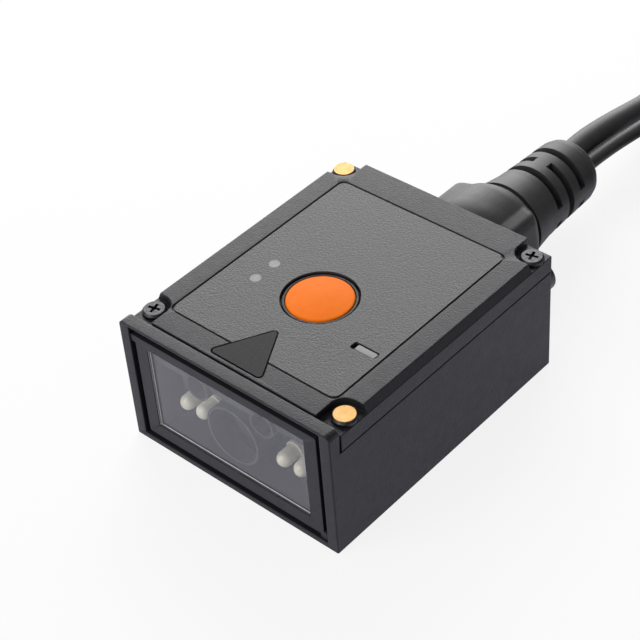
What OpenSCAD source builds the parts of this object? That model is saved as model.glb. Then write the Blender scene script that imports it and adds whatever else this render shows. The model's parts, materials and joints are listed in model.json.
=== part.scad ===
// Compact fixed barcode reader with a moulded two-lead plug on its back.
// Millimetres. Origin at the middle of the underside, window towards -Y, plug towards +Y, +Z up.

/* [Case] */
// Width of the case, side to side
case_w = 40.2; // [40:0.1:42]
// Depth of the case, bezel to back wall
case_d = 50; // [49.8:0.1:52]
// Height of the case with its cover
case_h = 22.5; // [22.2:0.1:23]
// Height of the line where cover and case meet
parting_z = 18.2; // [18:0.1:18.4]
// Thickness of the moulded walls
wall_t = 1.5; // [1.2:0.1:1.6]
// Radius of the upright corners
corner_r = 0.25; // [0.2:0.05:0.5]
// Width of the bevel along the cover's long edges
bevel_x = 0.7; // [0.4:0.1:1]
// Height of the bevel along the cover's long edges
bevel_z = 1.4; // [0.8:0.1:1.6]
// Gap between the bezel and the cover
bezel_gap = 0.5; // [0.3:0.1:0.6]

/* [Window] */
// Depth of the bezel round the window
bezel_t = 1.9; // [1.8:0.1:2]
// Width of the clear pane
pane_w = 30; // [29:0.5:30]
// Height of the clear pane
pane_h = 14.95; // [14:0.05:15]
// Width of the dark groove between bezel and window frame
groove_w = 0.85; // [0.6:0.05:1]

/* [Top] */
// Width of the top label
label_w = 31.3; // [30:0.1:31.3]
// Length of the top label
label_l = 38; // [36:0.5:38]
// Radius of the trigger button
button_r = 5.1; // [4.8:0.1:5.2]
// Clear ring round the trigger button
button_gap = 0.1; // [0.1:0.05:0.2]
// Travel of the trigger button
button_travel = 0.5; // [0.3:0.1:0.5]
// Radius of the corner pockets round the screw heads
pocket_r = 2.5; // [2.3:0.1:2.6]
// Depth of the corner pockets
pocket_depth = 1.35; // [1.2:0.05:1.4]

/* [Optics] */
// Outer radius of the camera lens barrel
barrel_r = 5; // [4.9:0.05:5.1]
// Outer radius of an aimer barrel
aimer_r = 2.25; // [2:0.05:2.3]
// Diameter of an illumination LED
led_d = 2.5; // [2.3:0.1:2.6]

/* [Plug] */
// Height of the plug's axis over the underside
plug_z = 8.8; // [8.7:0.1:9]
// Distance between the jack screws
jack_spacing = 25; // [24.8:0.1:25.2]
// Half width of the moulded hood
hood_half_w = 8.5; // [8.1:0.1:8.7]
// Width of a slot in the strain relief
slot_w = 1.45; // [1.2:0.05:1.6]

/* [Cables] */
// Diameter of the data cable
data_d = 4.4; // [4:0.1:4.4]
// Diameter of the power cable
power_d = 2.6; // [2.4:0.1:2.6]

/* [Hidden] */
$fn = 48;
eps = 0.01;
over = 1;
crown_steps = 6;

// Case
front_y = -case_d / 2;
back_y = case_d / 2;
bezel_back_y = front_y + bezel_t;
cover_front_y = bezel_back_y + bezel_gap;
inner_w = case_w - 2 * wall_t;
inner_back_y = back_y - wall_t;
floor_t = 1.5;
bezel_top_r = 1;
seam_bevel = 0.2;
cover_t = 1.6;
cover_under_z = case_h - cover_t;

// Cover screws, two in front and two behind
screw_x = 18.2;
screw_front_y = -19.6;
screw_back_y = 22.55;
screw_places = [
    [-screw_x, screw_front_y], [screw_x, screw_front_y],
    [-screw_x, screw_back_y], [screw_x, screw_back_y]
];
sealed_places = [screw_places[1], screw_places[2]];
screw_r = 1;
screw_hold = 4.5;
hole_spare = 0.3;
post_r = 1.9;
head_r = 1.85;
head_h = 0.75;
head_side_h = 0.4;
head_rim = 0.3;
pocket_wall = 0.7;
pocket_floor_z = case_h - pocket_depth;
seal_r = 1.6;
seal_t = 0.12;
recess_l = 2;
recess_w = 0.5;
recess_depth = 0.5;
recess_turn = 14;

// Mounting holes in the underside
mount_spacing_x = 25;
mount_spacing_y = 32;
mount_y = 3.4;
mount_hole_r = 1.6;
mount_hole_depth = 5;
mount_boss_r = 2.7;
mount_boss_h = 6.2;

// Window
opening_w = 36.4;
opening_z0 = 1;
opening_z1 = 21.5;
opening_mid_z = (opening_z0 + opening_z1) / 2;
opening_h = opening_z1 - opening_z0;
frame_recess = 0.25;
frame_y = front_y + frame_recess;
frame_step_y = front_y + 1.1;
frame_r = 0.4;
frame_tab = 1.5;
pane_mid_z = 11.575;
pane_r = 0.2;
pane_recess = 0.1;
pane_t = 1;

// Label, inlay and lights
label_mid_y = 0.4;
label_r = 1.2;
label_t = 0.3;
label_gap = 0.28;
inlay_half_w = 4.1;
inlay_y0 = -21.25;
inlay_y1 = -13.75;
inlay_r = 0.5;
inlay_t = 0.45;
inlay_gap = 0.22;
button_y = -3.8;
button_flange_r = 6.4;
button_flange_z0 = 18.95;
button_flange_z1 = 20.5;
button_crown = 0.35;
button_edge_z = case_h - 0.2;
collar_w = 0.38;
collar_r = button_r + button_gap + collar_w;
collar_drop = 0.25;
collar_groove_w = 0.34;
collar_groove_r = collar_r + collar_groove_w;
collar_groove_depth = 1;
pipe_x = -10.5;
pipe_ys = [-2.1, -6.2];
pipe_r = 0.85;
light_slot_at = [12.55, -8.7];
light_slot_l = 4.5;
light_slot_w = 1.5;
light_slot_r = 0.4;
light_slot_depth = 1;
light_bar_at = [12.85, -8.75];
light_bar_l = 3.6;
light_bar_w = 1.2;
light_bar_drop = 0.25;
pipe_foot_z = 14.3;

// Key board under the cover
key_board_z = 12.6;
board_t = 1.2;
key_board_w = 30;
key_board_y0 = -8.8;
key_board_y1 = 9;
key_post_r = 1.8;
key_post_x = 13.2;
key_post_ys = [-5.2, 7];
key_screw_hold = 3.2;
board_head_r = 1.7;
board_head_h = 1.2;
tact_w = 6;
tact_h = 3.5;
tact_plunger_r = 1.75;
tact_clear = 0.15;
tact_plunger_z = button_flange_z0 - button_travel - tact_clear;

// Main board on the case floor
main_board_z = 4;
main_board_w = 30.4;
main_board_y0 = -6.5;
main_board_y1 = 16.5;
board_boss_r = 2;
board_boss_x = 12.5;
board_boss_ys = [-3, 12.5];
board_screw_hold = 2;
beeper_x = -6.5;
beeper_y = 0.5;
beeper_r = 4.5;
beeper_h = 4.2;
link_w = 10;
link_y0 = 5.6;
link_t = 2.5;

// Optical chamber
holder_y0 = -22.9;
holder_y1 = -16;
holder_w = 32.4;
holder_top_z = 18;
holder_ledge_w = 29.8;
holder_ledge_z = 16.2;
holder_ledge_top_z = 20;
holder_back_t = 1.2;
chamber_w = 30.6;
chamber_z0 = 2.6;
lens_z = 10.2;
barrel_y0 = -23.3;
barrel_y1 = -12;
barrel_base_y = -10.4;
barrel_base_w = 12;
barrel_bore_r = 4.6;
barrel_stop_r = 2.6;
barrel_seat_y = -18.6;
barrel_throat_y = -13.5;
sensor_well_r = 4.2;
lens_crown = 1.1;
lens_t = 1.7;
aimer_x = 6.27;
aimer_z = 16.1;
aimer_y0 = -23.4;
aimer_y1 = -14;
aimer_bore_r = 1.85;
aimer_seat_y = -20.2;
aimer_lens_t = 1.2;
led_xs = [-11.2, -7.95, 7.95, 11.2];
led_z = 8.85;
led_dome_y = -21.1;
led_board_y = -18.4;
led_flange_r = 1.55;
led_flange_t = 0.8;
led_board_clear = 0.1;
sensor_w = 6;
sensor_h = 5;
sensor_t = 0.9;
sensor_board_w = 18;
sensor_board_z0 = 2.6;
sensor_board_z1 = 16.4;
flex_w = 8;
flex_t = 0.3;
flex_top_z = 9;
flex_end_y = -4.6;

// Nine-way socket in the back wall and the shell of the plug on it
flange_w = 30.8;
flange_h = 12.5;
flange_r = 1;
socket_flange_t = 1;
socket_d_w = 16.3;
socket_d_h = 7.9;
socket_d_y = 29;
socket_body_w = 19;
socket_body_h = 8.4;
socket_body_y = 17.5;
d_lean = tan(10);
shell_gap = 0.1;
shell_t = 0.7;
shell_y0 = 25.1;
standoff_r = 2.85;
standoff_y1 = 28.9;
stud_r = 1.5;
stud_y0 = 20.9;
standoff_bore_depth = 3.5;
plug_flange_y1 = 29.8;
jack_x = jack_spacing / 2;
jack_thread_r = 1.45;
jack_thread_y0 = 25.9;
jack_head_r = 2.8;
jack_head_y1 = 33;
jack_slot_w = 0.7;
jack_slot_depth = 1.2;

// Moulded hood and strain relief
hood_half_h = 8.5;
hood_arch_half_w = 6.3;
hood_arch_drop = 1.2;
hood_bevel = 1.6;
hood_y1 = 36.7;
hood_end_y = 40.2;
hood_end_r = 6.9;
hood_rim_t = 0.4;
relief_y0 = 40.6;
relief_neck_r = 6.55;
relief_profile = [
    [7.05, 40.6], [6.75, 42.5], [6.4, 45], [6.15, 50], [6, 55], [5.9, 57], [5.6, 58.1], [5.1, 58.8], [4.6, 59]
];
relief_slots = 3;
relief_slot_y = 47.05;
relief_slot_pitch = 3.3;
relief_slot_core_r = 4.7;
relief_slot_turn = 155;
relief_end_y = 59;

// Routes of the cables and their put-away coils
coil_lift = 0.8;
data_lead_route = [
    [-2.1, 59, 8.8], [-2.1, 62.5, 9.1], [-2.05, 66, 9.25], [-2, 69.5, 9], [-2, 73, 8.5],
    [-2, 77, 7.8], [-2.1, 81, 6.95], [-2.4, 85.5, 5.95], [-3.2, 90, 5.05], [-4.8, 95, 4.2], [-7.2, 100, 3.4],
    [-9.9, 105, 3.1], [-12.6, 110.3, 3], [-14.7, 115.4, 3], [-16.3, 120, 3], [-17.2, 122.5, 3]
];
data_tail_route = [
    [5, 155.2, 16.2], [8.5, 155.4, 16.2], [12.5, 155.4, 16.2], [16.5, 155.4, 16.1], [20.5, 155.4, 15.7],
    [25.4, 155.3, 14.9], [29.5, 154.8, 13.9], [33.4, 153.3, 12.7], [36.7, 150.7, 11.3], [39.2, 147.4, 9.7],
    [40.8, 143.5, 8.1], [41.4, 139.8, 7.1], [41.4, 137, 7]
];
power_lead_route = [
    [1.6, 59, 8.7], [1.6, 62.5, 8.65], [1.62, 66, 8.5], [1.75, 69.6, 8.3], [2, 73, 8.1],
    [2.5, 76.4, 8.15], [3.5, 79.7, 8.65], [5, 83, 9.35], [6.85, 86.5, 9.85], [8.5, 90, 9.9], [9.6, 92.4, 9.9]
];
power_tail_route = [
    [42.6, 87, 2.1], [42.6, 84, 2.1], [42.4, 80, 2.2], [41.7, 76, 2.6], [40.6, 72.5, 3.5],
    [39.8, 70, 4.2], [39.5, 68, 4.6], [39.5, 66, 4.6]
];
data_coil_at = [8.5, 129];
data_coil_mid_r = 22;
data_coil_rows = 3;
data_coil_layers = 4;
power_coil_at = [25, 84];
power_coil_mid_r = 15;
power_coil_rows = 3;
power_coil_layers = 4;
coil_edge_r = 1.4;
tie_t = 0.8;
tie_w = 4;
tie_gap = 0.3;
data_tie_turn = 330;
power_tie_turn = 25;

// Far plugs
data_plug_x = 41.4;
data_plug_z = 7;
data_plug_y1 = 137;
data_grip_y0 = 117;
data_grip_w = 14;
data_grip_h = 8;
data_grip_r = 2;
data_grip_neck = 4;
data_grip_end_r = 2.8;
data_shell_y0 = 105.5;
data_shell_w = 12;
data_shell_h = 4.5;
data_shell_t = 0.3;
data_tongue_h = 1.9;
data_tongue_inset = 1;
power_plug_x = 39.5;
power_plug_z = 4.6;
power_plug_y1 = 66;
power_grip_y0 = 42;
power_grip_r = 4.6;
power_grip_neck = 6;
power_grip_end_r = 2.1;
power_barrel_y0 = 32.5;
power_barrel_r = 2.75;
power_barrel_bore_r = 1.05;

// Colours
case_grey = [0.2, 0.2, 0.21];
label_grey = [0.33, 0.33, 0.35];
dark = [0.08, 0.08, 0.09];
orange = [1, 0.45, 0.1];
copper = [0.85, 0.42, 0.2];
steel = [0.6, 0.6, 0.62];
board_green = [0.08, 0.3, 0.16];
clear_grey = [0.55, 0.58, 0.62];
warm_white = [0.93, 0.9, 0.8];
cable_grey = [0.22, 0.22, 0.24];

// Rectangle with round corners, about its middle
module rounded_rect(w, h, r) {
    square([w - 2 * r, h], center = true);
    square([w, h - 2 * r], center = true);
    for (x = [-1, 1], y = [-1, 1])
        translate([x * (w / 2 - r), y * (h / 2 - r)])
            circle(r);
}

// Upright section, drawn in X and Z, drawn out from y0 to y1
module along_y(y0, y1) {
    translate([0, y1, 0])
        rotate([90, 0, 0])
            linear_extrude(y1 - y0)
                children();
}

// Turned shape, drawn with its axis on Z, laid along Y at x and z
module turned_y(x, z) {
    translate([x, 0, z])
        rotate([-90, 0, 0])
            children();
}

// Round bar along Y
module bar_y(x, z, r, y0, y1) {
    turned_y(x, z)
        translate([0, 0, y0])
            cylinder(r = r, h = y1 - y0);
}

// Flat board from corner to corner
module box_between(a, b) {
    translate(a)
        cube(b - a);
}

// Children on both sides of the middle plane
module both_sides() {
    children();
    mirror([1, 0, 0])
        children();
}

function unit(v) = v / norm(v);

function heading(route, i) =
    unit(route[min(i + 1, len(route) - 1)] - route[max(i - 1, 0)]);

function ring(route, i, d, sides) =
    let (t = heading(route, i), s = unit(cross(t, [0, 0, 1])), u = cross(s, t))
    [for (k = [0:sides - 1]) route[i] + d / 2 * (cos(360 * k / sides) * s + sin(360 * k / sides) * u)];

// Tube swept along a route
module tube(route, d, sides = 8) {
    last = len(route) - 1;
    points = [for (i = [0:last]) each ring(route, i, d, sides)];
    walls = [
        for (i = [0:last - 1], k = [0:sides - 1])
            let (a = i * sides + k, b = i * sides + (k + 1) % sides)
            [a, b, b + sides, a + sides]
    ];
    start = [for (k = [sides - 1:-1:0]) k];
    end = [for (k = [0:sides - 1]) last * sides + k];
    polyhedron(points, concat([start], walls, [end]));
}

// Outer shape of a neat coil of cable
module coil(at, mid_r, d, rows, layers) {
    translate([at.x, at.y, coil_lift])
        rotate_extrude($fn = 64)
            translate([mid_r, layers * d / 2])
                rounded_rect(rows * d, layers * d, coil_edge_r);
}

// Band round the bundle of a coil
module tie(at, mid_r, d, rows, layers, turn) {
    bundle_w = rows * d + 2 * tie_gap;
    bundle_h = layers * d + tie_gap;
    translate([at.x, at.y, 0])
        rotate([0, 0, turn])
            translate([mid_r, tie_w / 2, 0])
                rotate([90, 0, 0])
                    linear_extrude(tie_w)
                        difference() {
                            translate([0, (bundle_h + 2 * tie_t) / 2])
                                rounded_rect(bundle_w + 2 * tie_t, bundle_h + 2 * tie_t, tie_t);
                            translate([-bundle_w / 2, tie_t])
                                square([bundle_w, bundle_h]);
                        }
}

// Outline of the case seen from above
module case_plan() {
    rounded_rect(case_w, case_d, corner_r);
}

// Bezel seen from the front: round corners at the top, straight ones below
module bezel_outline() {
    translate([0, case_h / 2])
        rounded_rect(case_w, case_h, bezel_top_r);
    translate([-case_w / 2, 0])
        square([case_w, case_h / 2]);
}

// Opening in the bezel, seen from the front
module opening_outline() {
    translate([0, opening_mid_z])
        rounded_rect(opening_w, opening_h, pane_r);
}

// Clear pane, seen from the front
module pane_outline() {
    translate([0, pane_mid_z])
        rounded_rect(pane_w, pane_h, pane_r);
}

// Nine-way outline, wider at the top
module d_outline(w, h) {
    translate([0, plug_z])
        polygon([
            [-w / 2, h / 2], [w / 2, h / 2],
            [w / 2 - h * d_lean, -h / 2], [h * d_lean - w / 2, -h / 2]
        ]);
}

// Flange of the socket and of the plug
module flange_outline() {
    translate([0, plug_z])
        rounded_rect(flange_w, flange_h, flange_r);
}

// Triangle of the inlay with round corners, grown by a margin
module inlay_outline(grow) {
    hull()
        for (p = [[-inlay_half_w, inlay_y0], [inlay_half_w, inlay_y0], [0, inlay_y1]])
            translate(p)
                circle(inlay_r + grow, $fn = 32);
}

// Label seen from above, grown by a margin
module label_outline(grow) {
    translate([0, label_mid_y])
        rounded_rect(label_w + 2 * grow, label_l + 2 * grow, label_r);
}

// Slot over the status light
module light_slot_outline() {
    translate(light_slot_at)
        rounded_rect(light_slot_l, light_slot_w, light_slot_r);
}

// Light guide of the status light, seen from above
module light_bar_outline() {
    translate(light_bar_at)
        square([light_bar_l, light_bar_w], center = true);
}

// Round holes of the indicator lights
module pipe_outline() {
    for (y = pipe_ys)
        translate([pipe_x, y])
            circle(pipe_r);
}

module mount_places() {
    for (x = [-1, 1], y = [-1, 1])
        translate([x * mount_spacing_x / 2, mount_y + y * mount_spacing_y / 2, 0])
            children();
}

module board_places() {
    for (x = [-1, 1], y = board_boss_ys)
        translate([x * board_boss_x, y, 0])
            children();
}

module key_places() {
    for (x = [-1, 1], y = key_post_ys)
        translate([x * key_post_x, y, 0])
            children();
}

// Tub of the case with the bezel moulded on its front
module lower_case() {
    color(case_grey)
    difference() {
        union() {
            difference() {
                linear_extrude(parting_z)
                    case_plan();
                box_between(
                    [-inner_w / 2, bezel_back_y, floor_t],
                    [inner_w / 2, inner_back_y, case_h]
                );
            }
            intersection() {
                linear_extrude(case_h)
                    case_plan();
                along_y(front_y, bezel_back_y)
                    bezel_outline();
            }
            intersection() {
                linear_extrude(parting_z)
                    case_plan();
                for (p = screw_places)
                    translate([p.x, p.y, floor_t - eps])
                        cylinder(r = post_r, h = parting_z);
            }
            board_places()
                cylinder(r = board_boss_r, h = main_board_z);
            mount_places()
                cylinder(r = mount_boss_r, h = mount_boss_h);
        }
        along_y(front_y - over, bezel_back_y + eps)
            opening_outline();
        for (p = screw_places)
            translate([p.x, p.y, parting_z - screw_hold])
                cylinder(r = screw_r, h = screw_hold + over);
        board_places()
            translate([0, 0, main_board_z - board_screw_hold])
                cylinder(r = screw_r, h = board_screw_hold + over);
        mount_places()
            translate([0, 0, -over])
                cylinder(r = mount_hole_r, h = mount_hole_depth + over);
        along_y(inner_back_y - over, back_y + over)
            d_outline(socket_d_w, socket_d_h);
        both_sides()
            bar_y(jack_x, plug_z, stud_r, inner_back_y - over, back_y + over);
    }
}

// Outer form of the cover, with a bevel along both long edges
module cover_form() {
    intersection() {
        translate([0, 0, parting_z])
            linear_extrude(case_h - parting_z)
                case_plan();
        along_y(cover_front_y, back_y)
            polygon([
                [-case_w / 2 + seam_bevel, parting_z], [-case_w / 2, parting_z + seam_bevel],
                [-case_w / 2, case_h - bevel_z], [-case_w / 2 + bevel_x, case_h],
                [case_w / 2 - bevel_x, case_h], [case_w / 2, case_h - bevel_z],
                [case_w / 2, parting_z + seam_bevel], [case_w / 2 - seam_bevel, parting_z]
            ]);
    }
}

// Plan of a corner pocket round a screw, open to the side and to the end of the cover
module pocket_plan(p, r) {
    side = sign(p.x);
    end = sign(p.y);
    reach = case_w;
    translate(p) {
        circle(r);
        translate([side * reach / 2, 0])
            square([reach, 2 * r], center = true);
        translate([side * (reach - r) / 2, end * reach / 2])
            square([reach + r, reach], center = true);
    }
}

// Top cover with pockets for the screw heads and seats for label, inlay, button and lights
module top_cover() {
    color(case_grey)
    difference() {
        union() {
            difference() {
                cover_form();
                box_between(
                    [-inner_w / 2, cover_front_y - over, parting_z - over],
                    [inner_w / 2, inner_back_y, cover_under_z]
                );
            }
            intersection() {
                cover_form();
                for (p = screw_places)
                    translate([0, 0, parting_z])
                        linear_extrude(case_h)
                            pocket_plan(p, pocket_r + pocket_wall);
            }
            key_places()
                translate([0, 0, key_board_z + board_t])
                    cylinder(r = key_post_r, h = cover_under_z - key_board_z);
        }
        for (p = screw_places) {
            translate([0, 0, pocket_floor_z])
                linear_extrude(case_h)
                    pocket_plan(p, pocket_r);
            translate([p.x, p.y, parting_z - over])
                cylinder(r = screw_r, h = case_h);
        }
        key_places()
            translate([0, 0, key_board_z])
                cylinder(r = screw_r, h = board_t + key_screw_hold);
        translate([0, 0, case_h - label_t])
            linear_extrude(over)
                label_outline(label_gap);
        translate([0, 0, case_h - inlay_t])
            linear_extrude(over)
                inlay_outline(inlay_gap);
        translate([0, button_y, parting_z])
            cylinder(r = button_r + button_gap, h = case_h);
        translate([0, button_y, case_h - collar_drop])
            cylinder(r = collar_groove_r, h = over);
        translate([0, button_y, case_h - collar_groove_depth])
            difference() {
                cylinder(r = collar_groove_r, h = over);
                cylinder(r = collar_r, h = case_h);
            }
        translate([0, 0, parting_z])
            linear_extrude(case_h) {
                pipe_outline();
                light_bar_outline();
            }
        translate([0, 0, case_h - light_slot_depth])
            linear_extrude(case_h)
                light_slot_outline();
    }
}

// Thin label in its seat, cut out for button, lights and inlay
module top_label() {
    color(label_grey)
    translate([0, 0, case_h - label_t])
        linear_extrude(label_t)
            difference() {
                label_outline(0);
                inlay_outline(inlay_gap);
                translate([0, button_y])
                    circle(collar_groove_r);
                pipe_outline();
                light_slot_outline();
            }
}

module triangle_inlay() {
    color(label_grey)
    translate([0, 0, case_h - inlay_t])
        linear_extrude(inlay_t)
            inlay_outline(0);
}

// Button cap with a crowned top, kept in by its flange
module trigger_button() {
    color(orange)
    translate([0, button_y, 0])
        rotate_extrude()
            polygon(concat(
                [
                    [0, button_flange_z0], [button_flange_r, button_flange_z0],
                    [button_flange_r, button_flange_z1], [button_r, button_flange_z1]
                ],
                [
                    for (i = [0:crown_steps])
                        let (r = button_r * (1 - i / crown_steps))
                        [r, button_edge_z + button_crown * (1 - pow(r / button_r, 2))]
                ]
            ));
}

module tact_switch() {
    foot_z = key_board_z + board_t;
    color(dark)
    translate([0, button_y, foot_z]) {
        translate([-tact_w / 2, -tact_w / 2, 0])
            cube([tact_w, tact_w, tact_h]);
        cylinder(r = tact_plunger_r, h = tact_plunger_z - foot_z);
    }
}

module indicator_light_pipes() {
    color(clear_grey)
    translate([0, 0, pipe_foot_z])
        linear_extrude(case_h - pipe_foot_z)
            pipe_outline();
}

module status_light_bar() {
    color(clear_grey)
    translate([0, 0, pipe_foot_z])
        linear_extrude(case_h - light_bar_drop - pipe_foot_z)
            light_bar_outline();
}

// Pan-head screw with a cross recess, standing on z = 0
module pan_screw(hold) {
    difference() {
        union() {
            rotate_extrude()
                polygon([
                    [0, 0], [head_r, 0], [head_r, head_side_h],
                    [head_r - head_rim, head_h], [0, head_h]
                ]);
            translate([0, 0, -hold])
                cylinder(r = screw_r, h = hold + eps);
        }
        for (turn = [0, 90])
            rotate([0, 0, recess_turn + turn])
                translate([-recess_l / 2, -recess_w / 2, head_h - recess_depth])
                    cube([recess_l, recess_w, head_h]);
    }
}

module cover_screws() {
    hold = pocket_floor_z - parting_z + screw_hold - hole_spare;
    color(dark)
    for (p = screw_places)
        translate([p.x, p.y, pocket_floor_z])
            pan_screw(hold);
}

module screw_seals() {
    color(copper)
    for (p = sealed_places)
        translate([p.x, p.y, pocket_floor_z + head_h])
            cylinder(r = seal_r, h = seal_t);
}

// Stepped frame: its front plate stands inside the groove, its rear step fills the opening
module window_frame() {
    color(case_grey)
    difference() {
        union() {
            along_y(frame_y, frame_step_y + eps)
                translate([0, opening_mid_z])
                    rounded_rect(opening_w - 2 * groove_w, opening_h - 2 * groove_w, frame_r);
            along_y(frame_step_y, bezel_back_y)
                opening_outline();
            box_between(
                [-opening_w / 2, frame_y, opening_z1 - frame_tab],
                [frame_tab - opening_w / 2, frame_step_y + eps, opening_z1 - pane_r]
            );
            box_between(
                [opening_w / 2 - frame_tab, frame_y, opening_z0],
                [opening_w / 2 - pane_r, frame_step_y + eps, opening_z0 + frame_tab]
            );
        }
        along_y(front_y - over, bezel_back_y + over)
            pane_outline();
    }
}

module scan_window() {
    color(clear_grey)
    along_y(frame_y + pane_recess, frame_y + pane_recess + pane_t)
        pane_outline();
}

// Black chamber behind the window, carrying the barrels
module optics_holder() {
    color(dark)
    difference() {
        union() {
            box_between([-holder_w / 2, holder_y0, floor_t], [holder_w / 2, holder_y1, holder_top_z]);
            box_between(
                [-holder_ledge_w / 2, holder_y0, holder_ledge_z],
                [holder_ledge_w / 2, holder_y1, holder_ledge_top_z]
            );
        }
        box_between(
            [-chamber_w / 2, holder_y0 - over, chamber_z0],
            [chamber_w / 2, holder_y1 - holder_back_t, holder_ledge_z]
        );
        bar_y(0, lens_z, barrel_r, holder_y0 - over, holder_y1 + over);
        both_sides()
            bar_y(aimer_x, aimer_z, aimer_r, holder_y0 - over, holder_y1 + over);
    }
}

// Barrel with a stepped bore on a square base
module lens_barrel() {
    color(dark)
    difference() {
        union() {
            bar_y(0, lens_z, barrel_r, barrel_y0, barrel_base_y);
            box_between(
                [-barrel_base_w / 2, barrel_y1, lens_z - barrel_base_w / 2],
                [barrel_base_w / 2, barrel_base_y, lens_z + barrel_base_w / 2]
            );
        }
        bar_y(0, lens_z, barrel_bore_r, barrel_y0 - over, barrel_seat_y);
        bar_y(0, lens_z, barrel_stop_r, barrel_seat_y - over, barrel_base_y + over);
        bar_y(0, lens_z, sensor_well_r, barrel_throat_y, barrel_base_y + over);
    }
}

// Lens with a crowned front, seated against the step in its barrel
module crowned_lens(x, z, r, t, crown, seat_y) {
    turned_y(x, z)
        translate([0, 0, seat_y])
            rotate_extrude()
                polygon(concat(
                    [[0, 0], [r, 0]],
                    [
                        for (i = [0:crown_steps])
                            let (a = r * (1 - i / crown_steps))
                            [a, -t - crown * (1 - pow(a / r, 2))]
                    ]
                ));
}

module camera_lens() {
    color(clear_grey)
    crowned_lens(0, lens_z, barrel_bore_r, lens_t, lens_crown, barrel_seat_y);
}

module aimer_barrels() {
    color(dark)
    both_sides()
        difference() {
            bar_y(aimer_x, aimer_z, aimer_r, aimer_y0, aimer_y1);
            bar_y(aimer_x, aimer_z, aimer_bore_r, aimer_y0 - over, aimer_seat_y);
            bar_y(aimer_x, aimer_z, aimer_bore_r / 2, aimer_seat_y - over, aimer_y1 - over);
        }
}

module aimer_lenses() {
    color(clear_grey)
    both_sides()
        crowned_lens(aimer_x, aimer_z, aimer_bore_r, aimer_lens_t, aimer_lens_t / 4, aimer_seat_y);
}

module illumination_leds() {
    color(warm_white)
    for (x = led_xs) {
        bar_y(x, led_z, led_d / 2, led_dome_y, led_board_y);
        bar_y(x, led_z, led_flange_r, led_board_y - led_flange_t, led_board_y);
        translate([x, led_dome_y, led_z])
            sphere(d = led_d);
    }
}

module led_board() {
    color(board_green)
    difference() {
        box_between(
            [led_board_clear - chamber_w / 2, led_board_y, chamber_z0],
            [chamber_w / 2 - led_board_clear, holder_y1 - holder_back_t, holder_ledge_z - led_board_clear]
        );
        bar_y(0, lens_z, barrel_r + led_board_clear, led_board_y - over, holder_y1);
        both_sides()
            bar_y(aimer_x, aimer_z, aimer_r + led_board_clear, led_board_y - over, holder_y1);
    }
}

module image_sensor() {
    color(dark)
    box_between(
        [-sensor_w / 2, barrel_base_y - sensor_t, lens_z - sensor_h / 2],
        [sensor_w / 2, barrel_base_y, lens_z + sensor_h / 2]
    );
}

module sensor_board() {
    color(board_green)
    box_between(
        [-sensor_board_w / 2, barrel_base_y, sensor_board_z0],
        [sensor_board_w / 2, barrel_base_y + board_t, sensor_board_z1]
    );
}

// Flat ribbon from the back of the sensor board to the top of the main board
module sensor_flex() {
    back_y = barrel_base_y + board_t;
    top_z = main_board_z + board_t;
    color(orange)
    box_between([-flex_w / 2, back_y, top_z], [flex_w / 2, back_y + flex_t, flex_top_z]);
    color(orange)
    box_between([-flex_w / 2, back_y, top_z], [flex_w / 2, flex_end_y, top_z + flex_t]);
}

module main_board() {
    color(board_green)
    difference() {
        box_between(
            [-main_board_w / 2, main_board_y0, main_board_z],
            [main_board_w / 2, main_board_y1, main_board_z + board_t]
        );
        board_places()
            cylinder(r = screw_r, h = case_h);
    }
}

// Small board screw, head up, standing on z = 0
module board_screw(hold) {
    cylinder(r = board_head_r, h = board_head_h);
    translate([0, 0, -hold])
        cylinder(r = screw_r, h = hold);
}

module main_board_screws() {
    color(steel)
    board_places()
        translate([0, 0, main_board_z + board_t])
            board_screw(board_t + board_screw_hold - hole_spare);
}

module key_board() {
    color(board_green)
    difference() {
        box_between(
            [-key_board_w / 2, key_board_y0, key_board_z],
            [key_board_w / 2, key_board_y1, key_board_z + board_t]
        );
        key_places()
            cylinder(r = screw_r, h = case_h);
    }
}

module key_board_screws() {
    color(steel)
    key_places()
        translate([0, 0, key_board_z])
            mirror([0, 0, 1])
                board_screw(board_t + key_screw_hold - hole_spare);
}

module board_connector() {
    color(dark)
    box_between(
        [-link_w / 2, link_y0, main_board_z + board_t],
        [link_w / 2, link_y0 + link_t, key_board_z]
    );
}

module beeper() {
    hole_r = 0.8;
    color(dark)
    translate([beeper_x, beeper_y, main_board_z + board_t])
        difference() {
            cylinder(r = beeper_r, h = beeper_h);
            translate([0, 0, beeper_h / 2])
                cylinder(r = hole_r, h = beeper_h);
        }
}

// Nine-way socket, held behind the back wall by its standoffs
module rear_socket() {
    color(steel)
    difference() {
        union() {
            along_y(inner_back_y - socket_flange_t, inner_back_y)
                flange_outline();
            along_y(inner_back_y - eps, socket_d_y)
                d_outline(socket_d_w, socket_d_h);
            along_y(socket_body_y, inner_back_y - socket_flange_t)
                translate([0, plug_z])
                    square([socket_body_w, socket_body_h], center = true);
        }
        both_sides()
            bar_y(jack_x, plug_z, stud_r, socket_body_y, back_y);
    }
}

// Hexagonal standoffs with a stud inwards and a thread for the jack screws
module socket_standoffs() {
    color(steel)
    both_sides()
        difference() {
            union() {
                turned_y(jack_x, plug_z)
                    translate([0, 0, back_y])
                        cylinder(r = standoff_r, h = standoff_y1 - back_y, $fn = 6);
                bar_y(jack_x, plug_z, stud_r, stud_y0, back_y + eps);
            }
            bar_y(jack_x, plug_z, stud_r, standoff_y1 - standoff_bore_depth, standoff_y1 + over);
        }
}

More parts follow.
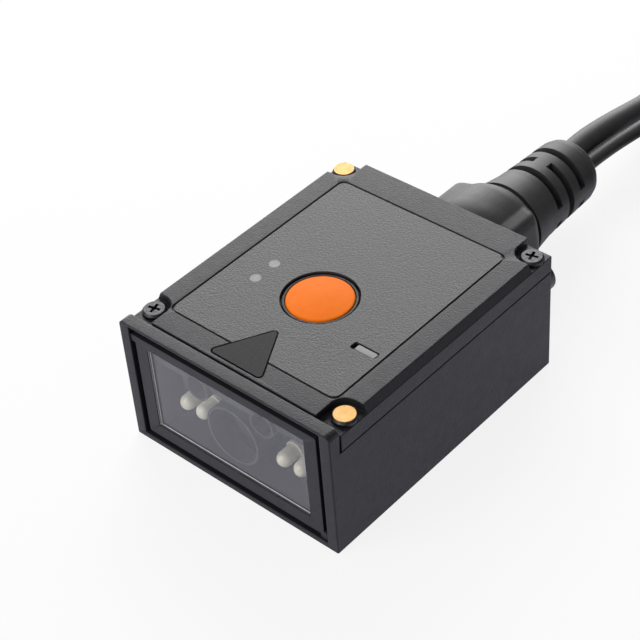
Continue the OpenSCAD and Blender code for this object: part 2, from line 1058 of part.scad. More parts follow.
// Metal shell of the plug: a flange with a skirt round the socket
module plug_shell() {
    inner_w = socket_d_w + 2 * shell_gap;
    inner_h = socket_d_h + 2 * shell_gap;
    color(steel)
    difference() {
        union() {
            along_y(standoff_y1, plug_flange_y1)
                flange_outline();
            along_y(shell_y0, standoff_y1 + eps)
                d_outline(inner_w + 2 * shell_t, inner_h + 2 * shell_t);
        }
        along_y(shell_y0 - over, plug_flange_y1 + over)
            d_outline(inner_w, inner_h);
        both_sides()
            bar_y(jack_x, plug_z, stud_r, standoff_y1 - over, plug_flange_y1 + over);
    }
}

// Section of the hood: an arch above and below, bevelled shoulders, slightly bowed sides
module hood_section() {
    arch_steps = 8;
    shoulder_z = hood_half_h - hood_arch_drop;
    arch = [
        for (i = [0:arch_steps])
            let (x = hood_arch_half_w * (1 - 2 * i / arch_steps))
            [x, hood_half_h - hood_arch_drop * pow(x / hood_arch_half_w, 2)]
    ];
    upper = concat(
        [[hood_half_w, 0], [hood_arch_half_w + hood_bevel, shoulder_z - hood_bevel]],
        arch,
        [[-hood_arch_half_w - hood_bevel, shoulder_z - hood_bevel], [-hood_half_w, 0]]
    );
    translate([0, plug_z])
        for (turn = [0, 180])
            rotate(turn)
                polygon(upper);
}

// Moulded hood, drawn in to a round rim where the strain relief starts
module plug_hood() {
    color(cable_grey) {
        along_y(plug_flange_y1, hood_y1)
            hood_section();
        hull() {
            along_y(hood_y1 - eps, hood_y1)
                hood_section();
            bar_y(0, plug_z, hood_end_r, hood_end_y - hood_rim_t, hood_end_y);
        }
    }
}

module jack_screws() {
    color(steel)
    both_sides()
        difference() {
            union() {
                bar_y(jack_x, plug_z, jack_head_r, plug_flange_y1, jack_head_y1);
                bar_y(jack_x, plug_z, jack_thread_r, jack_thread_y0, plug_flange_y1 + eps);
            }
            box_between(
                [jack_x - jack_head_r - over, jack_head_y1 - jack_slot_depth, plug_z - jack_slot_w / 2],
                [jack_x + jack_head_r + over, jack_head_y1 + over, plug_z + jack_slot_w / 2]
            );
        }
}

// Tapered strain relief with rows of slots, each row turned a quarter against the next
module strain_relief() {
    color(cable_grey)
    turned_y(0, plug_z)
        difference() {
            rotate_extrude()
                polygon(concat(
                    [[0, hood_end_y], [relief_neck_r, hood_end_y], [relief_neck_r, relief_y0]],
                    relief_profile,
                    [[0, relief_end_y]]
                ));
            for (row = [0:relief_slots - 1], side = [0, 180])
                translate([0, 0, relief_slot_y + row * relief_slot_pitch - slot_w / 2])
                    rotate([0, 0, side + 90 * (row + 1) - relief_slot_turn / 2])
                        rotate_extrude(angle = relief_slot_turn)
                            translate([relief_slot_core_r, 0])
                                square([hood_end_r, slot_w]);
        }
}

module data_lead() {
    color(cable_grey)
    tube(data_lead_route, data_d);
}

module data_coil() {
    color(cable_grey)
    coil(data_coil_at, data_coil_mid_r, data_d, data_coil_rows, data_coil_layers);
}

module data_tail() {
    color(cable_grey)
    tube(data_tail_route, data_d);
}

module data_plug_grip() {
    color(cable_grey) {
        translate([data_plug_x, 0, data_plug_z])
            along_y(data_grip_y0, data_plug_y1 - data_grip_neck)
                rounded_rect(data_grip_h, data_grip_w, data_grip_r);
        turned_y(data_plug_x, data_plug_z)
            translate([0, 0, data_plug_y1 - data_grip_neck - eps])
                cylinder(r1 = data_grip_h / 2, r2 = data_grip_end_r, h = data_grip_neck + eps);
    }
}

// Metal mouth of the data plug with its contact tongue, lying on its narrow side
module data_plug_shell() {
    color(steel)
    translate([data_plug_x, 0, data_plug_z])
        rotate([0, 90, 0])
            difference() {
                along_y(data_shell_y0, data_grip_y0)
                    square([data_shell_w, data_shell_h], center = true);
                along_y(data_shell_y0 - over, data_grip_y0 - data_tongue_inset)
                    difference() {
                        square(
                            [data_shell_w - 2 * data_shell_t, data_shell_h - 2 * data_shell_t],
                            center = true
                        );
                        translate([-data_shell_w / 2, data_shell_h / 2 - data_shell_t - data_tongue_h])
                            square([data_shell_w, data_tongue_h]);
                    }
            }
}

module power_lead() {
    color(cable_grey)
    tube(power_lead_route, power_d);
}

module power_coil() {
    color(cable_grey)
    coil(power_coil_at, power_coil_mid_r, power_d, power_coil_rows, power_coil_layers);
}

module power_tail() {
    color(cable_grey)
    tube(power_tail_route, power_d);
}

module power_plug_grip() {
    color(cable_grey)
    turned_y(power_plug_x, power_plug_z)
        rotate_extrude()
            polygon([
                [0, power_grip_y0], [power_grip_r, power_grip_y0],
                [power_grip_r, power_plug_y1 - power_grip_neck],
                [power_grip_end_r, power_plug_y1], [0, power_plug_y1]
            ]);
}

module power_plug_barrel() {
    color(steel)
    difference() {
        bar_y(power_plug_x, power_plug_z, power_barrel_r, power_barrel_y0, power_grip_y0);
        bar_y(power_plug_x, power_plug_z, power_barrel_bore_r, power_barrel_y0 - over, power_grip_y0 - over);
    }
}

module coil_ties() {
    color(dark) {
        tie(data_coil_at, data_coil_mid_r, data_d, data_coil_rows, data_coil_layers, data_tie_turn);
        tie(power_coil_at, power_coil_mid_r, power_d, power_coil_rows, power_coil_layers, power_tie_turn);
    }
}

lower_case();
top_cover();
top_label();
triangle_inlay();
trigger_button();
tact_switch();
indicator_light_pipes();
status_light_bar();
cover_screws();
screw_seals();
window_frame();
scan_window();
optics_holder();
lens_barrel();
camera_lens();
aimer_barrels();
aimer_lenses();
illumination_leds();
led_board();
image_sensor();
sensor_board();
sensor_flex();
main_board();
main_board_screws();
key_board();
key_board_screws();
board_connector();
beeper();
rear_socket();
socket_standoffs();
plug_shell();
plug_hood();
jack_screws();
strain_relief();
data_lead();
data_coil();
data_tail();
data_plug_grip();
data_plug_shell();
power_lead();
power_coil();
power_tail();
power_plug_grip();
power_plug_barrel();
coil_ties();
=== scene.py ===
# Fixed barcode reader: finishes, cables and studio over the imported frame
import json
import math

import bmesh
import bpy
from mathutils import Matrix, Vector


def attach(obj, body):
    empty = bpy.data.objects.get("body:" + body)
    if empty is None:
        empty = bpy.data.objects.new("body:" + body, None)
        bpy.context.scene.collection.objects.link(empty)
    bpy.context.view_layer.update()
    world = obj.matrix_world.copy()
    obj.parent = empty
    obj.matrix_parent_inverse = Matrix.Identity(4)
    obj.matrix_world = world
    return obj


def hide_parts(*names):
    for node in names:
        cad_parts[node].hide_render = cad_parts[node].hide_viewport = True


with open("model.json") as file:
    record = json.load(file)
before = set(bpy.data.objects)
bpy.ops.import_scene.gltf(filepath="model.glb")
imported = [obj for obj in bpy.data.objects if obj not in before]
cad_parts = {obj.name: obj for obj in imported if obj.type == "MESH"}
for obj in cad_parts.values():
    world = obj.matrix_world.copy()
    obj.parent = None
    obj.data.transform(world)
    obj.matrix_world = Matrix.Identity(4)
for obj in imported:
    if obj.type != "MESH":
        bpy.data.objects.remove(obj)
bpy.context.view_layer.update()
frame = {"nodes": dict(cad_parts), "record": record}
READER = "reader"
TRIGGER = "trigger"
MM = 0.001

# Camera, as fitted to the photograph
CAMERA_RIGHT = (0.74939, 0.65891, -0.06520)
CAMERA_UP = (-0.39347, 0.52235, 0.75652)
CAMERA_BACK = (0.53254, -0.54127, 0.65070)
CAMERA_AT = (0.138018, -0.144525, 0.187116)
LENS_MM = 100.43
SENSOR_MM = 36
CLIP_START = 0.01

# Studio, in metres and watts
FLOOR_HALF = 30.0
SURROUND_STRENGTH = 0.25
LAMPS = [
    {
        "name": "key_softbox", "size": 0.6, "power": 5.2,
        "at": (-0.38, 0.42, 0.28), "aim": (0, 0.01, 0.02),
    },
    {
        "name": "front_softbox", "size": 0.8, "power": 6.0,
        "at": (-0.30, -0.80, 0.65), "aim": (0, 0, 0.01),
    },
]

# Floor: share of plain white seen directly and in reflections
SEEN_WHITE = 0.85
MIRRORED_WHITE = 0.66
MIRRORED_TINT = (0.88, 0.875, 1.0)

# Noise in all finishes
NOISE_DETAIL = 2.0

# Softened edges and shading
WELD = 1e-7
SHARP_DEGREES = 35
SHADING_DEGREES = 40
HOOD_SHADING_DEGREES = 50
EDGE_SEGMENTS = 2
EDGE_PROFILE = 0.5

# Places on the solids, and the finer forms of the moulding over them, in millimetres
NEAR = 0.05
BEZEL_BACK = -23.1
FRAME_STEP = -23.9
OPENING_HALF = 18.2
OPENING_TOP = 21.5
OPENING_TURN = 21.31
TAB_END = -16.7
TAB_TOP = 21.3
TAB_FOOT = 20
TAB_DROP = 0.64
LIP_CUT = 0.5
JOINT_CUT = 0.25
BUTTON_AT = (0, -3.8)
RING_REACH = 6.2
LIGHT_BAR_RAISE = 0.2

# Least slope of the pane's edge faces that carry the painted light strip
PANE_EDGE_SLOPE = 0.2

# Plug and jack screws, in millimetres
PLUG_Z = 8.8
JACK_X = 12.5
JACK_TURN_DEGREES = 80

# Hood: a quarter of its section round the plug's axis, and its stations along it, in millimetres
HOOD_R = 8.5
HOOD_SHOULDER = [(8.5, 0), (8.1, 5.0), (7.5, 6.35)]
HOOD_CROWN_X = (5.2, 4.4, 3.5, 2.6, 1.7, 0.9, 0)
HOOD_CROWN_LIFT = 0.08
HOOD_SIDES = 192
HOOD_FRONT = 29.8
HOOD_FRONT_EDGE = 0.4
HOOD_FRONT_INSET = 0.3
HOOD_MIDDLE = 33.0
HOOD_BEND = 37.0
HOOD_BEND_STEPS = 12
HOOD_RIM = 40.0
HOOD_RIM_R = 6.9
HOOD_BACK = 40.2
HOOD_BACK_EDGE = 0.12
ROUNDING = 1e-9

# Cables, in millimetres, along the same routes as their solids
COIL_LIFT = 0.8
COIL_LAYERS = 4
STEP_SHARE = 0.12
POINTS_PER_TURN = 40
ROUTE_STEPS = 4
CABLE_ROUNDING = 4
DATA_D = 4.4
POWER_D = 2.6
DATA_LEAD = [
    (-2.1, 59, 8.8), (-2.1, 62.5, 9.1), (-2.05, 66, 9.25), (-2, 69.5, 9), (-2, 73, 8.5),
    (-2, 77, 7.8), (-2.1, 81, 6.95), (-2.4, 85.5, 5.95), (-3.2, 90, 5.05), (-4.8, 95, 4.2),
    (-7.2, 100, 3.4), (-9.9, 105, 3.1), (-12.6, 110.3, 3), (-14.7, 115.4, 3),
]
DATA_TAIL = [
    (12.5, 155.4, 16.2), (16.5, 155.4, 16.1), (20.5, 155.4, 15.7), (25.4, 155.3, 14.9),
    (29.5, 154.8, 13.9), (33.4, 153.3, 12.7), (36.7, 150.7, 11.3), (39.2, 147.4, 9.7),
    (40.8, 143.5, 8.1), (41.4, 139.8, 7.1), (41.4, 137, 7),
]
DATA_COIL = {
    "at": (8.5, 129), "radii": (26.4, 22, 17.6), "turns": 11,
    "start": 200, "end": 90, "rising": True,
}
POWER_LEAD = [
    (1.6, 59, 8.7), (1.6, 62.5, 8.65), (1.62, 66, 8.5), (1.75, 69.6, 8.3), (2, 73, 8.1),
    (2.5, 76.4, 8.15), (3.5, 79.7, 8.65), (5, 83, 9.35), (6.85, 86.5, 9.85),
]
POWER_TAIL = [
    (42.4, 80, 2.2), (41.7, 76, 2.6), (40.6, 72.5, 3.5), (39.8, 70, 4.2), (39.5, 68, 4.6),
    (39.5, 66, 4.6),
]
POWER_COIL = {
    "at": (25, 84), "radii": (17.6, 15, 12.4), "turns": 11,
    "start": 160, "end": 0, "rising": False,
}


class Shader:
    """Node material with short calls for its usual parts."""

    def __init__(self, name, color, roughness, metallic=0.0):
        self.material = bpy.data.materials.new(name)
        self.material.use_nodes = True
        self.nodes = self.material.node_tree.nodes
        self.links = self.material.node_tree.links
        self.bsdf = self.nodes["Principled BSDF"]
        self.bsdf.inputs["Base Color"].default_value = (*color, 1)
        self.bsdf.inputs["Roughness"].default_value = roughness
        self.bsdf.inputs["Metallic"].default_value = metallic
        self.coords = self.nodes.new("ShaderNodeTexCoord").outputs["Object"]

    def set(self, **values):
        """Sets sockets that are the same all over the surface."""
        for key, value in values.items():
            self.bsdf.inputs[key.replace("_", " ")].default_value = value
        return self

    def noise(self, size_mm):
        """Noise with grains of about that size."""
        node = self.nodes.new("ShaderNodeTexNoise")
        node.inputs["Scale"].default_value = 1 / (size_mm * MM)
        node.inputs["Detail"].default_value = NOISE_DETAIL
        self.links.new(self.coords, node.inputs["Vector"])
        return node.outputs["Fac"]

    def ramp(self, factor, low, high, start=0.3, end=0.7):
        """Colour that goes from low to high with the factor."""
        node = self.nodes.new("ShaderNodeValToRGB")
        node.color_ramp.elements[0].position = start
        node.color_ramp.elements[1].position = end
        node.color_ramp.elements[0].color = (*low, 1)
        node.color_ramp.elements[1].color = (*high, 1)
        self.links.new(factor, node.inputs["Fac"])
        return node.outputs["Color"]

    def mottle(self, low, high, size_mm):
        """Base colour that varies a little over the surface."""
        color = self.ramp(self.noise(size_mm), low, high)
        self.links.new(color, self.bsdf.inputs["Base Color"])
        return self

    def grain(self, size_mm, depth_mm, round_mm=0.0):
        """Fine bump over the surface, with softly rounded edges where a radius is given."""
        bump = self.nodes.new("ShaderNodeBump")
        if round_mm:
            edge = self.nodes.new("ShaderNodeBevel")
            edge.inputs["Radius"].default_value = round_mm * MM
            self.links.new(edge.outputs["Normal"], bump.inputs["Normal"])
        bump.inputs["Strength"].default_value = 1.0
        bump.inputs["Distance"].default_value = depth_mm * MM
        self.links.new(self.noise(size_mm), bump.inputs["Height"])
        self.links.new(bump.outputs["Normal"], self.bsdf.inputs["Normal"])
        return self

    def wear(self, low, high, size_mm):
        """Roughness that varies a little over the surface."""
        spread = self.nodes.new("ShaderNodeMapRange")
        spread.inputs["To Min"].default_value = low
        spread.inputs["To Max"].default_value = high
        self.links.new(self.noise(size_mm), spread.inputs["Value"])
        self.links.new(spread.outputs["Result"], self.bsdf.inputs["Roughness"])
        return self

    def ray_kinds(self):
        """Outputs that tell what kind of ray meets the surface."""
        return self.nodes.new("ShaderNodeLightPath").outputs

    def combine(self, operation, first, second):
        """Result of an operation on an output and another output or a number."""
        node = self.nodes.new("ShaderNodeMath")
        node.operation = operation
        self.links.new(first, node.inputs[0])
        if isinstance(second, float):
            node.inputs[1].default_value = second
        else:
            self.links.new(second, node.inputs[1])
        return node.outputs["Value"]

    def blend(self, factor, other):
        """Shows another shader in place of the surface by the factor."""
        mix = self.nodes.new("ShaderNodeMixShader")
        self.links.new(factor, mix.inputs["Fac"])
        self.links.new(self.bsdf.outputs["BSDF"], mix.inputs[1])
        self.links.new(other, mix.inputs[2])
        self.links.new(mix.outputs["Shader"], self.nodes["Material Output"].inputs["Surface"])
        return self


def case_plastic():
    """Dark moulded plastic with a fine spark-eroded texture."""
    shader = Shader("case_plastic", color=(0.014, 0.0135, 0.0175), roughness=0.42)
    shader.mottle(low=(0.011, 0.0106, 0.0142), high=(0.018, 0.0174, 0.0222), size_mm=0.35)
    shader.wear(low=0.36, high=0.5, size_mm=1.5)
    shader.set(Specular_IOR_Level=0.33)
    return shader.grain(size_mm=0.24, depth_mm=0.07).material


def label_film():
    """Film of the top label, with a leathery grain."""
    shader = Shader("label_film", color=(0.06, 0.06, 0.062), roughness=0.5)
    shader.mottle(low=(0.043, 0.043, 0.045), high=(0.075, 0.075, 0.077), size_mm=0.3)
    return shader.grain(size_mm=0.26, depth_mm=0.12).material


def inlay_film():
    """Plain dark film of the inlay."""
    shader = Shader("inlay_film", color=(0.012, 0.012, 0.013), roughness=0.45)
    shader.mottle(low=(0.009, 0.009, 0.01), high=(0.015, 0.015, 0.016), size_mm=0.4)
    shader.set(Specular_IOR_Level=0.14)
    return shader.grain(size_mm=0.25, depth_mm=0.02).material


def button_orange():
    """Satin orange key cap."""
    shader = Shader("button_orange", color=(1.0, 0.2, 0.004), roughness=0.55)
    shader.mottle(low=(0.98, 0.19, 0.003), high=(1.0, 0.21, 0.005), size_mm=1.2)
    shader.set(Specular_IOR_Level=0.1)
    return shader.grain(size_mm=0.2, depth_mm=0.008).material


def light_pipe():
    """Frosted grey light guide."""
    shader = Shader("light_pipe", color=(0.23, 0.23, 0.24), roughness=0.45)
    shader.mottle(low=(0.2, 0.2, 0.21), high=(0.26, 0.26, 0.27), size_mm=0.4)
    return shader.grain(size_mm=0.1, depth_mm=0.006).material


def screw_black():
    """Black oxide steel with a little unevenness."""
    shader = Shader("screw_black", color=(0.06, 0.06, 0.064), roughness=0.4, metallic=0.9)
    shader.mottle(low=(0.04, 0.04, 0.043), high=(0.085, 0.085, 0.088), size_mm=0.4)
    return shader.grain(size_mm=0.15, depth_mm=0.006).material


def seal_copper():
    """Copper-orange foil seal."""
    shader = Shader("seal_copper", color=(0.62, 0.36, 0.125), roughness=0.5, metallic=0.6)
    shader.mottle(low=(0.58, 0.32, 0.1), high=(0.66, 0.4, 0.15), size_mm=0.8)
    return shader.grain(size_mm=0.5, depth_mm=0.01).material


def window_clear():
    """Clear hard-coated acrylic that lets light through to the optics."""
    shader = Shader("window_clear", color=(0.97, 0.98, 1.0), roughness=0.01)
    shader.set(Transmission_Weight=1.0, IOR=1.45)
    shader.wear(low=0.0, high=0.02, size_mm=6.0)
    rays = shader.ray_kinds()
    lit_through = shader.combine("MAXIMUM", rays["Is Shadow Ray"], rays["Is Diffuse Ray"])
    clear = shader.nodes.new("ShaderNodeBsdfTransparent")
    return shader.blend(lit_through, clear.outputs["BSDF"]).material


def pane_edge_light_strip():
    """Pale grey painted on the pane's lower and left edges as a light strip."""
    shader = Shader("pane_edge_light_strip", color=(0.75, 0.77, 0.8), roughness=0.5)
    shader.mottle(low=(0.66, 0.68, 0.71), high=(0.84, 0.86, 0.89), size_mm=0.6)
    return shader.grain(size_mm=0.1, depth_mm=0.01).material


def lens_glass():
    """Coated lens glass."""
    shader = Shader("lens_glass", color=(0.006, 0.006, 0.009), roughness=0.15)
    shader.set(Specular_IOR_Level=0.15)
    shader.mottle(low=(0.005, 0.005, 0.007), high=(0.008, 0.008, 0.012), size_mm=2.0)
    return shader.material


def optics_black():
    """Matt black moulding inside the window."""
    shader = Shader("optics_black", color=(0.02, 0.02, 0.021), roughness=0.55)
    shader.mottle(low=(0.016, 0.016, 0.017), high=(0.026, 0.026, 0.027), size_mm=0.8)
    return shader.grain(size_mm=0.2, depth_mm=0.01).material


def led_lens():
    """Milky epoxy of the LEDs."""
    shader = Shader("led_lens", color=(0.72, 0.68, 0.56), roughness=0.25)
    shader.set(Subsurface_Weight=0.4, Subsurface_Radius=(0.002, 0.002, 0.0015))
    shader.mottle(low=(0.66, 0.62, 0.5), high=(0.78, 0.74, 0.62), size_mm=0.9)
    return shader.material


def board():
    """Dark solder mask."""
    shader = Shader("board", color=(0.008, 0.03, 0.016), roughness=0.4)
    shader.mottle(low=(0.006, 0.024, 0.013), high=(0.01, 0.04, 0.02), size_mm=1.5)
    return shader.grain(size_mm=0.4, depth_mm=0.01).material


def component_black():
    """Black component mouldings."""
    shader = Shader("component_black", color=(0.02, 0.02, 0.022), roughness=0.5)
    shader.mottle(low=(0.016, 0.016, 0.018), high=(0.026, 0.026, 0.028), size_mm=0.6)
    return shader.grain(size_mm=0.2, depth_mm=0.008).material


def flex():
    """Amber film of a flexible circuit."""
    shader = Shader("flex", color=(0.5, 0.2, 0.03), roughness=0.35)
    shader.mottle(low=(0.45, 0.17, 0.02), high=(0.55, 0.24, 0.05), size_mm=1.0)
    return shader.material


def plated_steel():
    """Nickel-plated steel."""
    shader = Shader("plated_steel", color=(0.5, 0.5, 0.5), roughness=0.3, metallic=1.0)
    shader.mottle(low=(0.44, 0.44, 0.44), high=(0.56, 0.56, 0.55), size_mm=1.2)
    shader.wear(low=0.22, high=0.38, size_mm=1.5)
    return shader.grain(size_mm=0.3, depth_mm=0.003).material


def cable_jacket():
    """Satin black cable jacket and overmoulding."""
    shader = Shader("cable_jacket", color=(0.038, 0.038, 0.04), roughness=0.52)
    shader.mottle(low=(0.033, 0.033, 0.035), high=(0.043, 0.043, 0.045), size_mm=1.5)
    shader.wear(low=0.46, high=0.58, size_mm=4.0)
    return shader.grain(size_mm=0.3, depth_mm=0.015, round_mm=0.2).material


def tie_black():
    """Black nylon tie."""
    shader = Shader("tie_black", color=(0.012, 0.012, 0.013), roughness=0.42)
    shader.mottle(low=(0.01, 0.01, 0.011), high=(0.016, 0.016, 0.017), size_mm=0.8)
    return shader.grain(size_mm=0.3, depth_mm=0.01).material


def floor_white():
    """White floor that keeps a pale shadow and shows white behind the object."""
    shader = Shader("floor", color=(0.9, 0.9, 0.9), roughness=0.8)
    shader.mottle(low=(0.89, 0.89, 0.89), high=(0.91, 0.91, 0.91), size_mm=40.0)
    rays = shader.ray_kinds()
    direct = shader.combine("MAXIMUM", rays["Is Camera Ray"], rays["Is Transmission Ray"])
    seen = shader.combine("MULTIPLY", direct, SEEN_WHITE)
    mirrored = shader.combine("MULTIPLY", rays["Is Glossy Ray"], MIRRORED_WHITE)
    glow = shader.nodes.new("ShaderNodeEmission")
    tint = shader.ramp(rays["Is Glossy Ray"], (1, 1, 1), MIRRORED_TINT, start=0, end=1)
    shader.links.new(tint, glow.inputs["Color"])
    white_share = shader.combine("MAXIMUM", seen, mirrored)
    return shader.blend(white_share, glow.outputs["Emission"]).material


MAKERS = [
    case_plastic, label_film, button_orange, light_pipe, screw_black, seal_copper, window_clear,
    lens_glass, optics_black, led_lens, board, component_black, flex, plated_steel, cable_jacket,
    tie_black,
]
finishes = {maker.__name__: maker() for maker in MAKERS}
slots = {part["node"]: part["material_slot"] for part in frame["record"]["subparts"]}


def show(piece, node, body=READER):
    """Puts a piece in the place of a CAD node, with the node's finish."""
    bpy.context.collection.objects.link(piece)
    piece.data.materials.clear()
    piece.data.materials.append(finishes[slots[node]])
    piece.matrix_world = frame["nodes"][node].matrix_world.copy()
    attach(piece, body)
    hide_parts(node)
    return piece


def smooth(mesh, degrees):
    """Smooth shading, with edges sharper than the angle left hard."""
    mesh.polygons.foreach_set("use_smooth", [True] * len(mesh.polygons))
    mesh.set_sharp_from_angle(angle=math.radians(degrees))


def rounded(shape, edges, radius_mm):
    """Puts a moulding radius on the given edges of a mesh."""
    bmesh.ops.bevel(
        shape, geom=edges, offset=radius_mm * MM, offset_type="OFFSET", segments=EDGE_SEGMENTS,
        profile=EDGE_PROFILE, affect="EDGES", clamp_overlap=False,
    )


def softened(node, radius_mm, body=READER, reshape=None, special=None):
    """Copy of a rigid node, reshaped if asked, with a small moulding radius on its sharp edges.

    Special is a test of a place in millimetres, and another radius for the edges that pass it.
    """
    mesh = frame["nodes"][node].data.copy()
    shape = bmesh.new()
    shape.from_mesh(mesh)
    bmesh.ops.remove_doubles(shape, verts=shape.verts, dist=WELD)
    if reshape:
        for v in shape.verts:
            v.co = Vector(reshape(*(v.co / MM))) * MM
    spans = [
        (min(v.co[i] for v in shape.verts), max(v.co[i] for v in shape.verts)) for i in range(3)
    ]
    least_angle = math.radians(SHARP_DEGREES)
    sharp = [e for e in shape.edges if e.is_manifold and e.calc_face_angle(0) > least_angle]
    picked = [e for e in sharp if special and all(special[0](*(v.co / MM)) for v in e.verts)]
    apart = set(picked)
    rounded(shape, [e for e in sharp if e not in apart], radius_mm)
    if picked:
        rounded(shape, [e for e in picked if e.is_valid], special[1])
    for v in shape.verts:
        v.co = [min(max(c, low), high) for c, (low, high) in zip(v.co, spans)]
    shape.to_mesh(mesh)
    shape.free()
    smooth(mesh, SHADING_DEGREES)
    piece = show(bpy.data.objects.new(f"{node}_moulded", mesh), node, body)
    even = piece.modifiers.new("even_shading", "WEIGHTED_NORMAL")
    even.keep_sharp = True
    return piece


def finer_bezel(x, y, z):
    """Thin lip over the window and a narrow joint to the cover, as on the moulding."""
    over_window = abs(x) < OPENING_HALF + NEAR and OPENING_TURN < z < OPENING_TOP + NEAR
    if y < BEZEL_BACK + NEAR and over_window:
        return x, y, z + LIP_CUT
    if abs(y - BEZEL_BACK) < NEAR and z > OPENING_TOP - NEAR:
        return x, y + JOINT_CUT, z
    return x, y, z


def finer_frame(x, y, z):
    """Window frame with its rear step raised with the lip and its upper tab set lower."""
    if y > FRAME_STEP - NEAR and z > OPENING_TURN:
        return x, y, z + LIP_CUT
    on_tab = z > TAB_TOP - NEAR or abs(z - TAB_FOOT) < NEAR
    if y < FRAME_STEP + NEAR and x < TAB_END + NEAR and on_tab:
        return x, y, z - TAB_DROP
    return x, y, z


def on_bezel_back(x, y, z):
    """Tells the edge of the bezel that faces the cover."""
    return abs(y - BEZEL_BACK - JOINT_CUT) < NEAR and z > OPENING_TOP - NEAR


def by_the_button(x, y, z):
    """Tells the fine edges of the ring round the button."""
    return math.hypot(x - BUTTON_AT[0], y - BUTTON_AT[1]) < RING_REACH


def painted_light_strip(pane):
    """Gives the pane's lower and left edge faces the pale grey of the painted light strip."""
    pane.data.materials.append(pane_edge_light_strip())
    for face in pane.data.polygons:
        x, y, z = face.normal
        if x < -PANE_EDGE_SLOPE or y > PANE_EDGE_SLOPE and z < -PANE_EDGE_SLOPE:
            face.material_index = 1


def hood_radius(angle):
    """Distance from the plug's axis to the hood: a round crown between two sloping shoulders."""
    corners = HOOD_SHOULDER + [
        (x, math.sqrt(HOOD_R**2 - x**2) + HOOD_CROWN_LIFT * (x / HOOD_CROWN_X[0]) ** 2)
        for x in HOOD_CROWN_X
    ]
    x, z = abs(math.cos(angle)), abs(math.sin(angle))
    for (x0, z0), (x1, z1) in zip(corners, corners[1:]):
        across = x * (z1 - z0) - z * (x1 - x0)
        reach = (x0 * (z1 - z0) - z0 * (x1 - x0)) / across
        if x0 >= reach * x >= x1 - ROUNDING:
            return reach
    return HOOD_R


def smooth_hood():
    """Moulded hood with sloping shoulders, drawn in to the rim of the strain relief."""
    angles = [2 * math.pi * k / HOOD_SIDES for k in range(HOOD_SIDES)]
    raw = [hood_radius(angle) for angle in angles]
    section = [
        min(raw[k], (raw[k - 1] + raw[k] + raw[(k + 1) % HOOD_SIDES]) / 3)
        for k in range(HOOD_SIDES)
    ]
    bend = HOOD_RIM - HOOD_BEND
    stations = [(HOOD_FRONT, HOOD_FRONT_INSET), (HOOD_FRONT + HOOD_FRONT_EDGE, 0)]
    stations += [(HOOD_MIDDLE, 0), (HOOD_BEND, 0)]
    stations += [
        (HOOD_BEND + bend * i / HOOD_BEND_STEPS, 0) for i in range(1, HOOD_BEND_STEPS + 1)
    ]
    stations += [(HOOD_BACK - HOOD_BACK_EDGE, 0), (HOOD_BACK, HOOD_BACK_EDGE)]
    points = []
    for y, inset in stations:
        share = min(max((y - HOOD_BEND) / bend, 0), 1) ** 2
        for angle, r in zip(angles, section):
            reach = r + (HOOD_RIM_R - r) * share - inset
            x, z = reach * math.cos(angle), PLUG_Z + reach * math.sin(angle)
            points.append((x * MM, y * MM, z * MM))
    last = (len(stations) - 1) * HOOD_SIDES
    faces = []
    for row in range(0, last, HOOD_SIDES):
        for k in range(HOOD_SIDES):
            a, b = row + k, row + (k + 1) % HOOD_SIDES
            faces.append((a, a + HOOD_SIDES, b + HOOD_SIDES, b))
    faces.append(tuple(range(HOOD_SIDES)))
    faces.append(tuple(reversed(range(last, last + HOOD_SIDES))))
    mesh = bpy.data.meshes.new("plug_hood_moulded")
    mesh.from_pydata(points, [], faces)
    smooth(mesh, HOOD_SHADING_DEGREES)
    return show(bpy.data.objects.new("plug_hood_moulded", mesh), "plug_hood")


def turned_jack_screws():
    """Jack screws turned in their threads until the slots stand upright."""
    mesh = frame["nodes"]["jack_screws"].data.copy()
    shape = bmesh.new()
    shape.from_mesh(mesh)
    turn = Matrix.Rotation(math.radians(JACK_TURN_DEGREES), 3, "Y")
    for side in (-1, 1):
        screw = [v for v in shape.verts if v.co.x * side > 0]
        axis = Vector((side * JACK_X, 0, PLUG_Z)) * MM
        bmesh.ops.rotate(shape, verts=screw, cent=axis, matrix=turn)
    bmesh.ops.remove_doubles(shape, verts=shape.verts, dist=WELD)
    shape.to_mesh(mesh)
    shape.free()
    smooth(mesh, SHADING_DEGREES)
    return show(bpy.data.objects.new("jack_screws_turned", mesh), "jack_screws")


def smooth_route(points):
    """Points on one smooth curve through the given ones."""
    points = [Vector(p) for p in points]
    padded = [2 * points[0] - points[1], *points, 2 * points[-1] - points[-2]]
    route = []
    for a, b, c, d in zip(padded, padded[1:], padded[2:], padded[3:]):
        slope = c - a
        bow = 2 * a - 5 * b + 4 * c - d
        turn = 3 * b - a - 3 * c + d
        for i in range(ROUTE_STEPS):
            t = i / ROUTE_STEPS
            route.append(0.5 * (2 * b + slope * t + bow * t**2 + turn * t**3))
    return [*route, points[-1]]


def coil_route(coil, diameter):
    """Turns of a neat coil, wound clockwise in layers, inwards and outwards in turn."""
    rows = len(coil["radii"])

    def place(turn):
        layer, row = divmod(turn, rows)
        radius = coil["radii"][row if layer % 2 == 0 else rows - 1 - row]
        height = layer if coil["rising"] else COIL_LAYERS - 1 - layer
        return radius, COIL_LIFT + (height + 0.5) * diameter

    swept = coil["turns"] + (coil["start"] - coil["end"]) / 360
    route = []
    for i in range(round(swept * POINTS_PER_TURN) + 1):
        turn, share = divmod(i / POINTS_PER_TURN, 1)
        step = max(0.0, (share - 1 + STEP_SHARE) / STEP_SHARE)
        step = step * step * (3 - 2 * step)
        (r0, z0), (r1, z1) = place(int(turn)), place(int(turn) + 1)
        radius = r0 + (r1 - r0) * step
        angle = math.radians(coil["start"] - 360 * i / POINTS_PER_TURN)
        x = coil["at"][0] + radius * math.cos(angle)
        y = coil["at"][1] + radius * math.sin(angle)
        route.append(Vector((x, y, z0 + (z1 - z0) * step)))
    return route


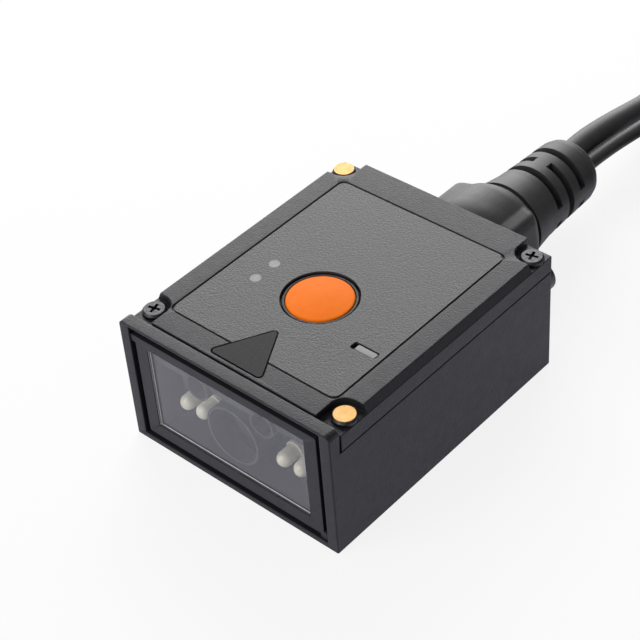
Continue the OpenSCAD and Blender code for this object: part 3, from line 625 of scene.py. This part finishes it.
def cable(name, lead, coil, tail, diameter, nodes):
    """One cable from the strain relief through its coil to its far plug, and its length."""
    turns = coil_route(coil, diameter)
    route = smooth_route([*lead, turns[0]]) + turns[1:-1] + smooth_route([turns[-1], *tail])
    curve = bpy.data.curves.new(name, "CURVE")
    curve.dimensions = "3D"
    curve.bevel_depth = diameter / 2 * MM
    curve.bevel_resolution = CABLE_ROUNDING
    curve.use_fill_caps = True
    spline = curve.splines.new("POLY")
    spline.points.add(len(route) - 1)
    for point, place in zip(spline.points, route):
        point.co = (*(place * MM), 1)
    spline.use_smooth = True
    obj = bpy.data.objects.new(name, curve)
    bpy.context.collection.objects.link(obj)
    obj.data.materials.append(finishes["cable_jacket"])
    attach(obj, READER)
    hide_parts(*nodes)
    length = sum((b - a).length for a, b in zip(route, route[1:])) * MM
    return obj, length


def softbox(name, at, aim, size, power):
    """Square area lamp pointed at a place."""
    lamp = bpy.data.lights.new(name, "AREA")
    lamp.size = size
    lamp.energy = power
    obj = bpy.data.objects.new(name, lamp)
    bpy.context.collection.objects.link(obj)
    obj.location = at
    obj.rotation_euler = (Vector(aim) - Vector(at)).to_track_quat("-Z", "Y").to_euler()


def studio():
    """White floor, dim white surround and soft lamps."""
    corners = [(-1, -1), (1, -1), (1, 1), (-1, 1)]
    mesh = bpy.data.meshes.new("floor")
    mesh.from_pydata([(x * FLOOR_HALF, y * FLOOR_HALF, 0) for x, y in corners], [], [(0, 1, 2, 3)])
    floor = bpy.data.objects.new("floor", mesh)
    bpy.context.collection.objects.link(floor)
    floor.data.materials.append(floor_white())

    world = bpy.data.worlds.new("surround")
    world.use_nodes = True
    bpy.context.scene.world = world
    surround = world.node_tree.nodes["Background"]
    surround.inputs["Color"].default_value = (1, 1, 1, 1)
    surround.inputs["Strength"].default_value = SURROUND_STRENGTH

    for lamp in LAMPS:
        softbox(**lamp)


def camera():
    """Camera at the photograph's viewing angle."""
    data = bpy.data.cameras.new("camera")
    data.lens = LENS_MM
    data.sensor_width = SENSOR_MM
    data.sensor_fit = "HORIZONTAL"
    data.clip_start = CLIP_START
    obj = bpy.data.objects.new("camera", data)
    bpy.context.collection.objects.link(obj)
    axes = Matrix((CAMERA_RIGHT, CAMERA_UP, CAMERA_BACK)).transposed().to_4x4()
    obj.matrix_world = Matrix.Translation(CAMERA_AT) @ axes
    bpy.context.scene.camera = obj


# Finishes of the nodes that keep their solids
for name, obj in frame["nodes"].items():
    obj.data.materials.clear()
    obj.data.materials.append(finishes[slots[name]])
frame["nodes"]["triangle_inlay"].data.materials[0] = inlay_film()

# Rigid pieces with their moulding radii
softened("lower_case", radius_mm=0.12, reshape=finer_bezel, special=(on_bezel_back, 0.25))
softened("top_cover", radius_mm=0.13, special=(by_the_button, 0.07))
softened("window_frame", radius_mm=0.08, reshape=finer_frame)
# Pane, with a light strip painted pale grey on its lower and left edges
painted_light_strip(softened("scan_window", radius_mm=0.12))
softened("trigger_button", radius_mm=0.2, body=TRIGGER)
status_light_bar = softened("status_light_bar", radius_mm=0.15)
status_light_bar.data.transform(Matrix.Translation((0, 0, LIGHT_BAR_RAISE * MM)))
plug_hood = smooth_hood()
jack_screws = turned_jack_screws()

# Cables
data_cable, data_length = cable(
    "data_cable", DATA_LEAD, DATA_COIL, DATA_TAIL, DATA_D,
    nodes=["data_lead", "data_coil", "data_tail"],
)
power_cable, power_length = cable(
    "power_cable", POWER_LEAD, POWER_COIL, POWER_TAIL, POWER_D,
    nodes=["power_lead", "power_coil", "power_tail"],
)

studio()
camera()
bpy.context.scene.view_settings.view_transform = "Standard"
